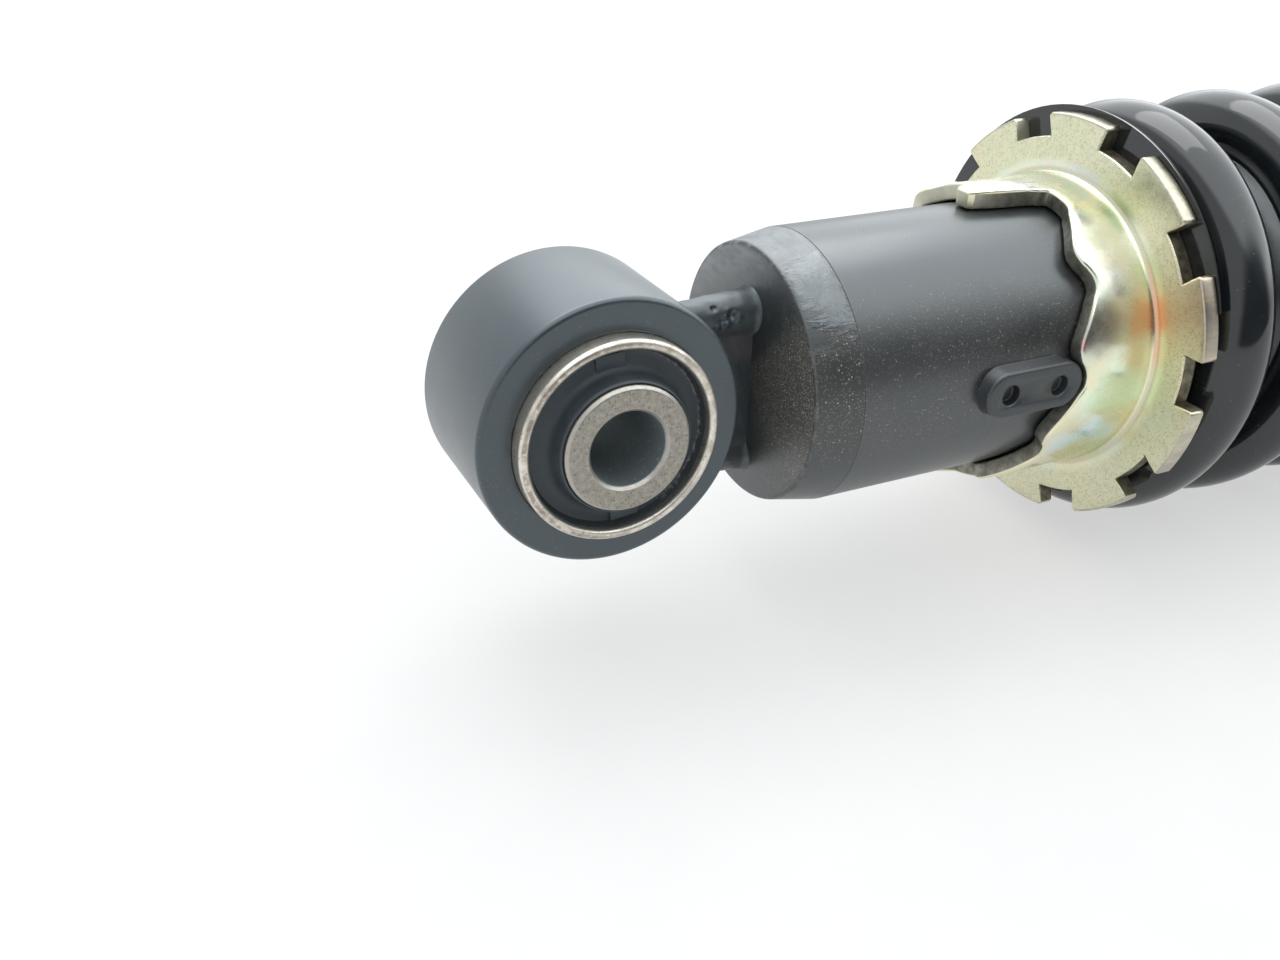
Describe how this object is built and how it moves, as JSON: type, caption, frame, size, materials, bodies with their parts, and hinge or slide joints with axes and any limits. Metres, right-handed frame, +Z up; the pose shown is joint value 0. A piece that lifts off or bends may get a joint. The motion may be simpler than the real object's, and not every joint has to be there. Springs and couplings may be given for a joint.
{
  "type": "motorcycle rear shock absorber",
  "caption": "Motorcycle rear shock absorber: gas damper with a coil spring over it, a stepped preload cam with spanner notches, and a bushed eye at each end.",
  "frame": {"origin": "centre of the lower eye's bolt bore", "axes": "+X along the damper from the lower eye to the upper eye, +Y along the bolt through the lower eye, +Z up as the shock lies on its side"},
  "size_m": [0.3264, 0.07, 0.07],
  "materials": {
    "eye_paint": "satin",
    "bush_shell": "bare steel, lightly stained",
    "bush_rubber": "matte",
    "bush_sleeve": "turned",
    "cap_paint": "satin, speckled with dust",
    "tube_paint": "satin",
    "lug_paint": "satin",
    "cam_zinc": "yellow zinc plate",
    "spring_paint": "gloss",
    "machined_alloy": "turned",
    "seal_rubber": "matte",
    "guide_bronze": "plain",
    "plain_steel": "plain",
    "dark_steel": "phosphate dark",
    "cap_plastic": "matte",
    "rod_chrome": "polished",
    "band_plastic": "matte",
    "bump_rubber": "matte"
  },
  "bodies": {
    "damper_body": {"lower_eye": "eye_paint", "lower_outer_sleeve": "bush_shell", "lower_bush_rubber": "bush_rubber", "end_cap": "cap_paint", "damper_tube": "tube_paint", "preload_stop_lugs": "lug_paint", "rod_guide": "machined_alloy", "guide_bush": "guide_bronze", "rod_guide_o_ring": "seal_rubber", "oil_seal": "seal_rubber", "seal_backing_ring": "plain_steel", "snap_ring": "dark_steel", "dust_cap": "cap_plastic"},
    "lower_sleeve": {"lower_inner_sleeve": "bush_sleeve"},
    "spring_body": {"coil_spring": "spring_paint"},
    "cam_body": {"preload_cam": "cam_zinc"},
    "floating_piston_body": {"floating_piston": "machined_alloy", "floating_piston_o_ring": "seal_rubber"},
    "rod_body": {"piston_rod": "rod_chrome", "top_out_bumper": "seal_rubber", "stop_plate": "plain_steel", "compression_shims": "plain_steel", "piston": "machined_alloy", "piston_band": "band_plastic", "rebound_shims": "plain_steel", "shim_support_washer": "plain_steel", "piston_nut": "plain_steel", "bump_stop": "bump_rubber", "bump_stop_washer": "plain_steel", "rod_lock_nut": "plain_steel", "upper_spring_seat": "tube_paint", "upper_eye": "eye_paint", "upper_outer_sleeve": "bush_shell", "upper_bush_rubber": "bush_rubber"},
    "upper_sleeve": {"upper_inner_sleeve": "bush_sleeve"}
  },
  "joints": [
    {"name": "damper_stroke", "type": "slide", "parent": "damper_body", "child": "rod_body", "axis": [-1, 0, 0], "range_m": [0, 0.05], "stiffness_N_per_m": 82000, "springref_m": -0.01, "deforming": ["coil_spring"]},
    {"name": "preload_lift", "type": "slide", "parent": "damper_body", "child": "spring_body", "axis": [1, 0, 0], "range_m": [-0.0048, 0.0048]},
    {"name": "preload_turn", "type": "hinge", "parent": "spring_body", "child": "cam_body", "pos_m": [0.079, 0, 0], "axis": [-1, 0, 0], "range_deg": [-71, 71]},
    {"name": "floating_piston_slide", "type": "slide", "parent": "damper_body", "child": "floating_piston_body", "axis": [-1, 0, 0], "range_m": [0, 0.0064]},
    {"name": "lower_bush_twist", "type": "hinge", "parent": "damper_body", "child": "lower_sleeve", "pos_m": [0, 0, 0], "axis": [0, 1, 0], "range_deg": [-15, 15], "stiffness_Nm_per_rad": 60},
    {"name": "upper_bush_twist", "type": "hinge", "parent": "rod_body", "child": "upper_sleeve", "pos_m": [0.29, 0, 0], "axis": [0, 1, 0], "range_deg": [-15, 15], "stiffness_Nm_per_rad": 60}
  ],
  "couplings": [
    {"joint": "preload_turn", "follows": "preload_lift", "rad_per_m": 258.16},
    {"joint": "floating_piston_slide", "follows": "damper_stroke", "ratio": 0.1276}
  ]
}
